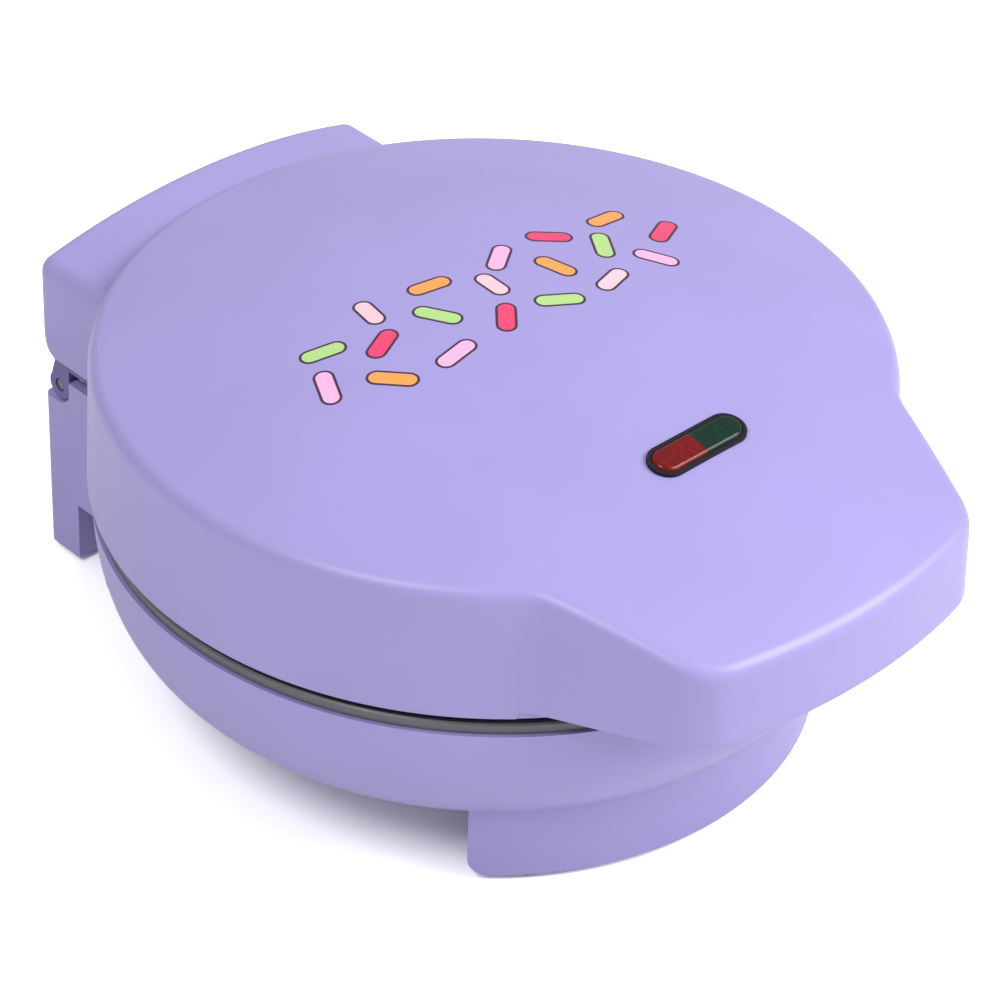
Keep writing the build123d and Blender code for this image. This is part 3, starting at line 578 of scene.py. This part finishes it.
def hood_rear_limit(z):
    if z >= 86:
        return HOOD_REAR - 1.5 * (z - 86) / 26
    s = (86 - z) / 16.4
    return 117.0 + 9.8 * math.sqrt(max(0.0, 1 - s * s))


def soft_min(a, b, k):
    h = max(0.0, min(1.0, 0.5 + 0.5 * (b - a) / k))
    return b + (a - b) * h - k * h * (1 - h)


def hood_front(x, z):
    r = 109.3 - (z - RIM_Z) * math.tan(DRAFT)
    return math.sqrt(r * r - x * x)


def hood_plan():
    """Right side, rear corner, rear arc, left: points with normals, counter-clockwise from the right front. Also the y
    where the side meets the rear corner.
    """
    cyr = HOOD_REAR - rear_r
    # corner fillet between the side and the rear arc
    cx = HOOD_HALF - HOOD_CORNER
    cy = cyr + math.sqrt((rear_r - HOOD_CORNER) ** 2 - cx * cx)
    side = [((HOOD_HALF, None), (1.0, 0.0), k / 10) for k in range(11)]
    out = []
    for (x, _), n, t in side:
        out.append((x, t, cy, n))
    corner = []
    a1 = math.degrees(math.atan2(cy - cyr, cx))
    for k in range(1, 15):
        a = math.radians(a1 * k / 14)
        corner.append((cx + HOOD_CORNER * math.cos(a), cy + HOOD_CORNER * math.sin(a), (math.cos(a), math.sin(a))))
    rear = []
    for k in range(1, 61):
        a = math.radians(a1 + (180 - 2 * a1) * k / 60)
        rear.append((rear_r * math.cos(a), cyr + rear_r * math.sin(a), (math.cos(a), math.sin(a))))
    mirror = [(-x, y, (-n[0], n[1])) for x, y, n in corner[::-1][1:]]
    return out, corner, rear, mirror, cy


SIDE, CORNER, REAR, CORNER2, CORNER_Y = hood_plan()
M = len(SIDE) - 1


def hood_columns(z, inset):
    """Plan points of the hood at height z, moved inward."""
    pts = []
    y0 = hood_front(HOOD_HALF, z)
    lim = hood_rear_limit(z)
    for x, t, cy, n in SIDE:
        y = y0 + (CORNER_Y - y0) * t
        pts.append((x - inset, soft_min(y, lim, 0.8) if y > lim - 1 else y))
    for group in (CORNER, REAR, CORNER2):
        for x, y, n in group:
            xx = x - n[0] * inset
            yy = soft_min(y, lim, 0.8) - n[1] * inset
            pts.append((xx, yy))
    for x, t, cy, n in SIDE[::-1]:
        y = y0 + (CORNER_Y - y0) * t
        pts.append((-x + inset, soft_min(y, lim, 0.8) if y > lim - 1 else y))
    return pts


hood = Build()
HOOD_ROUND = 4.2
rows = []
BOTTOM = RIM_Z + 0.03
levels = [BOTTOM, BOTTOM + 0.1, BOTTOM + 0.3]
levels += [BOTTOM + 0.3 + 16.1 * (1 - math.cos(math.pi / 2 * k / 12)) for k in range(1, 13)]
flat = hood_columns(100.0, 0)
for z in levels:
    inset = 0.4 if z == levels[0] else (0.12 if z == levels[1] else 0.0)
    rows.append(hood.row([(x, y, z) for x, y in hood_columns(z, inset)]))
z_last = levels[-1]
for k in range(1, 8):
    cols = hood_columns(z_last, 0)
    pts = []
    for j in range(len(cols)):
        top = hood_top(cols[j][0]) - HOOD_ROUND
        z = z_last + (top - z_last) * k / 7
        x, y = hood_columns(z, 0)[j] if j % 1 == 0 else cols[j]
        pts.append((x, y, z))
    rows.append(hood.row(pts))
last_cols = [hood.v[j] for j in rows[-1]]
nsides = []
for group in (SIDE,):
    nsides += [n for x, t, cy, n in group]
normals = nsides + [n for g in (CORNER, REAR, CORNER2) for x, y, n in g] + [(-n[0], n[1]) for n in nsides[::-1]]
for k in range(1, 11):
    a = math.pi / 2 * k / 10
    inset = HOOD_ROUND * (1 - math.cos(a))
    pts = []
    for (x, y, z), n in zip(last_cols, normals):
        px, py = x - n[0] * inset, y - n[1] * inset
        pts.append((px, py, hood_top(px) - HOOD_ROUND * (1 - math.sin(a)) * 1.0))
    rows.append(hood.row(pts))
for a, b in zip(rows, rows[1:]):
    hood.skin(a, b, closed=False)
# top: strips from the rear rounding forward into the lid's wall
ring = rows[-1]
first = ring[M]
strips = []
cols = list(range(M, len(ring) - M))
for c in cols:
    x, y, z = hood.v[ring[c]]
    if c == cols[0]:
        strips.append(ring[: M + 1])
        continue
    if c == cols[-1]:
        strips.append(ring[len(ring) - M - 1 :][::-1])
        continue
    yf = hood_front(x, hood_top(x))
    pts = [(x, yf + (y - yf) * k / M, hood_top(x)) for k in range(M)]
    strips.append(hood.row(pts) + [ring[c]])
for a, b in zip(strips, strips[1:]):
    hood.skin(a, b, closed=False, flip=True)
# flat underside, in strips that end inside the lid's round wall
low_ring = rows[0]
low_strips = []
for c in cols:
    x, y, z = hood.v[low_ring[c]]
    if c == cols[0]:
        low_strips.append(low_ring[: M + 1])
        continue
    if c == cols[-1]:
        low_strips.append(low_ring[len(low_ring) - M - 1 :][::-1])
        continue
    yf = hood_front(x, z)
    pts = [(x, yf + (y - yf) * k / M, z) for k in range(M)]
    low_strips.append(hood.row(pts) + [low_ring[c]])
for a, b in zip(low_strips, low_strips[1:]):
    hood.skin(a, b, closed=False)
# the hidden front follows the lid's round wall and lies inside it
hood.f.append(tuple([r[0] for r in rows] + [strips[1][0], low_strips[1][0]]))
hood.f.append(tuple([r[-1] for r in rows] + [strips[-2][0], low_strips[-2][0]]))
for a, b, c, d in zip(low_strips[1:-2], low_strips[2:-1], strips[2:-1], strips[1:-2]):
    hood.f.append((a[0], b[0], c[0], d[0]))
hood_part = make_object("hinge_hood_cover", hood.v, hood.f, 40)
bm = bmesh.new()
bm.from_mesh(hood_part.data)
bmesh.ops.recalc_face_normals(bm, faces=bm.faces)
print("hood open edges", sum(1 for e in bm.edges if not e.is_manifold))
bm.to_mesh(hood_part.data)
bm.free()

# round wall carried on under the root of the handle, ribs and posts inside
inside = Build()
steps = 48
loop = []
a0, a1 = math.radians(-90 - 43), math.radians(-90 + 43)
for i in range(steps + 1):
    a = a0 + (a1 - a0) * i / steps
    loop.append((110.8 * math.cos(a), 110.8 * math.sin(a)))
for i in range(steps, -1, -1):
    a = a0 + (a1 - a0) * i / steps
    loop.append((108.2 * math.cos(a), 108.2 * math.sin(a)))
lo = inside.row([(x, y, RIM_Z + 0.02) for x, y in loop])
hi = inside.row([(x, y, RIM_Z + 11) for x, y in loop])
inside.skin(lo, hi)
for i in range(steps):
    q = (lo[i], lo[i + 1], lo[2 * steps - i], lo[2 * steps + 1 - i])
    inside.f.append(q[::-1])
    inside.f.append(tuple(hi[j - lo[0]] for j in q))
POSTS = (30, 150, 230, 310)
for deg in POSTS:
    a = math.radians(deg)
    cx, cy = 97 * math.cos(a), 97 * math.sin(a)
    ring_o, ring_i, ring_o2, ring_i2 = [], [], [], []
    for i in range(28):
        b = 2 * math.pi * i / 28
        ring_o.append((cx + 4.5 * math.cos(b), cy + 4.5 * math.sin(b)))
        ring_i.append((cx + 1.8 * math.cos(b), cy + 1.8 * math.sin(b)))
    z0, z1 = 69.8, 90.0
    ro0 = inside.row([(x, y, z0) for x, y in ring_o])
    ro1 = inside.row([(x, y, z1) for x, y in ring_o])
    ri0 = inside.row([(x, y, z0) for x, y in ring_i])
    ri1 = inside.row([(x, y, z1) for x, y in ring_i])
    inside.skin(ro0, ro1)
    inside.skin(ri0, ri1, flip=True)
    inside.skin(ro0, ri0, flip=True)
    inside.skin(ro1, ri1)
    # rib from the post to the wall
    ux, uy = math.cos(a), math.sin(a)
    tx, ty = -uy * 1.3, ux * 1.3
    quad = []
    for r, s in ((100.5, 1), (100.5, -1), (109.4, -1), (109.4, 1)):
        quad.append((ux * r + tx * s, uy * r + ty * s))
    inside.prism(quad, z0, z1)
inside_part = make_object("lid_inner_ribs", inside.v, inside.f, 30)

for part in (lid_part, hood_part, inside_part):
    part.data.materials.clear()
    part.data.materials.append(lilac.m)
    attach(part, "lid")
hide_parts("lid_shell")

# ---------------------------------------------------------------------------
# Printed sprinkles on the lid: thin ink layers that follow the dome
# ---------------------------------------------------------------------------
def ink(name, c):
    m = Mat(name)
    m.colour(m.ramp(m.noise(900, 3, 0.6), [(0.3, scaled(c, 0.74)), (0.7, scaled(c, 0.79))]))
    m.rough(m.span(m.noise(1600, 2), 0.34, 0.44))
    m.bump(m.noise(2600, 2), 0.00001, 0.4)
    return m


INKS = {
    "outline": ink("print_outline_ink", lin(62, 34, 62)),
    "pink": ink("print_pink_ink", lin(238, 176, 218)),
    "orange": ink("print_orange_ink", lin(246, 158, 80)),
    "green": ink("print_green_ink", lin(174, 212, 132)),
    "red": ink("print_red_ink", lin(236, 62, 110)),
    "blush": ink("print_blush_ink", lin(248, 196, 208)),
}


def sprinkle(build, cx, cy, deg, length, width, lift, thick):
    """One capsule of ink on the dome, a closed thin layer."""
    a = math.radians(deg)
    ux, uy = math.cos(a), math.sin(a)

    def put(x, y, up):
        px, py = cx + ux * x - uy * y, cy + uy * x + ux * y
        r = math.hypot(px, py)
        k = up / DOME_R
        return (px * (1 + k), py * (1 + k), dome_z(r) + up)

    n = 10
    rings = []
    shape = slot_loop(length, width, n)
    for s in (1.0, 0.5):
        rings.append([(x if s == 1.0 else (math.copysign(max(0.0, length / 2 - width / 2), x) + (x - math.copysign(length / 2 - width / 2, x)) * s), y * s) for x, y in shape])
    top = [build.row([put(x, y, lift + thick) for x, y in r]) for r in rings]
    low = [build.row([put(x, y, lift) for x, y in r]) for r in rings]
    build.skin(low[0], top[0])
    build.skin(top[0], top[1])
    build.skin(low[0], low[1], flip=True)
    m = len(shape)
    # middle: strips across between the two long sides
    half = m // 2
    for rr, flip in ((top[1], False), (low[1], True)):
        for i in range(half - 1):
            q = (rr[i], rr[i + 1], rr[m - 2 - i], rr[m - 1 - i])
            build.f.append(q[::-1] if flip else q)


# place, turn, length and colour of each: an even scatter in a loose band
SPRINKLES = [
    (-58, 3, 62, 13, "pink"), (-49, 15, -18, 12, "green"), (-44, -7, -52, 13, "orange"),
    (-36, 6, 24, 12, "red"), (-29, 19, 78, 11, "blush"), (-25, -11, 8, 13, "pink"),
    (-17, 5, -64, 13, "green"), (-9, 17, -12, 12, "orange"), (-4, -8, 48, 12, "red"),
    (4, 6, 86, 11, "blush"), (13, -11, -30, 13, "green"), (15, 15, 36, 13, "pink"),
    (24, 2, -78, 12, "orange"), (32, -12, 18, 12, "blush"), (34, 15, -40, 12, "red"),
    (43, 3, 56, 13, "green"), (51, -10, -60, 12, "pink"), (55, 14, 4, 12, "orange"),
    (64, 0, 28, 13, "red"),
]
layers = {k: Build() for k in INKS}
for x, y, deg, length, c in SPRINKLES:
    sprinkle(layers["outline"], x, y, deg, length + 1.5, 5.9, -0.02, 0.05)
    sprinkle(layers[c], x, y, deg, length, 4.4, 0.0, 0.06)
for key, b in layers.items():
    obj = make_object("print_" + key, b.v, b.f, 60)
    obj.data.materials.append(INKS[key].m)
    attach(obj, "lid")

# ---------------------------------------------------------------------------
# Camera, floor and light
# ---------------------------------------------------------------------------
az, el, roll = math.radians(-44.66), math.radians(36.3), math.radians(2.18)
back = Vector((math.sin(az) * math.cos(el), -math.cos(az) * math.cos(el), math.sin(el)))
right0 = Vector((math.cos(az), math.sin(az), 0))
up0 = back.cross(right0)
right = math.cos(roll) * right0 + math.sin(roll) * up0
up = -math.sin(roll) * right0 + math.cos(roll) * up0
cam_data = bpy.data.cameras.new("camera")
cam_data.sensor_width = 36
cam_data.lens = 4143.7 * 36 / 1000
cam_data.clip_start, cam_data.clip_end = 0.05, 60
cam = bpy.data.objects.new("camera", cam_data)
bpy.context.scene.collection.objects.link(cam)
place = back * 1186.4 + right * 4.6 + up * 43.8 + Vector((0, DISC_Y, 3.0))
rot = Matrix((right, up, back)).transposed().to_4x4()
cam.matrix_world = Matrix.Translation(place * MM) @ rot
bpy.context.scene.camera = cam

floor_mesh = bpy.data.meshes.new("floor")
floor_mesh.from_pydata([(-9, -9, 0), (9, -9, 0), (9, 9, 0), (-9, 9, 0)], [], [(0, 1, 2, 3)])
floor = bpy.data.objects.new("floor", floor_mesh)
bpy.context.scene.collection.objects.link(floor)
fm = bpy.data.materials.new("pale_floor")
fm.use_nodes = True
ft = fm.node_tree
ft.nodes.clear()
ray = ft.nodes.new("ShaderNodeLightPath")
level = ft.nodes.new("ShaderNodeMapRange")
level.inputs["To Min"].default_value = 0.82
level.inputs["To Max"].default_value = 1.4
ft.links.new(ray.outputs["Is Camera Ray"], level.inputs["Value"])
diffuse = ft.nodes.new("ShaderNodeBsdfDiffuse")
ft.links.new(level.outputs["Result"], diffuse.inputs["Color"])
ft.links.new(diffuse.outputs["BSDF"], ft.nodes.new("ShaderNodeOutputMaterial").inputs["Surface"])
floor_mesh.materials.append(fm)


def area(name, at_, to, size, power, colour=(1, 1, 1)):
    data = bpy.data.lights.new(name, "AREA")
    data.shape = "DISK"
    data.size = size
    data.energy = power
    data.color = colour
    obj = bpy.data.objects.new(name, data)
    bpy.context.scene.collection.objects.link(obj)
    v = Vector(to) - Vector(at_)
    obj.location = at_
    obj.rotation_euler = v.to_track_quat("-Z", "Y").to_euler()
    return obj


area("key", (1.0, -1.33, 1.5), (0, 0, 0.08), 1.6, 58)
area("left strip", (-1.15, -0.2, 1.6), (0, 0, 0.08), 0.7, 15)

world = bpy.data.worlds.new("studio")
bpy.context.scene.world = world
world.use_nodes = True
bg = next(n for n in world.node_tree.nodes if n.type == "BACKGROUND")
bg.inputs["Color"].default_value = (1, 1, 1, 1)
bg.inputs["Strength"].default_value = 0.67

scene = bpy.context.scene
scene.view_settings.view_transform = "Standard"
scene.view_settings.look = "None"
scene.view_settings.exposure = 0
scene.view_settings.gamma = 1
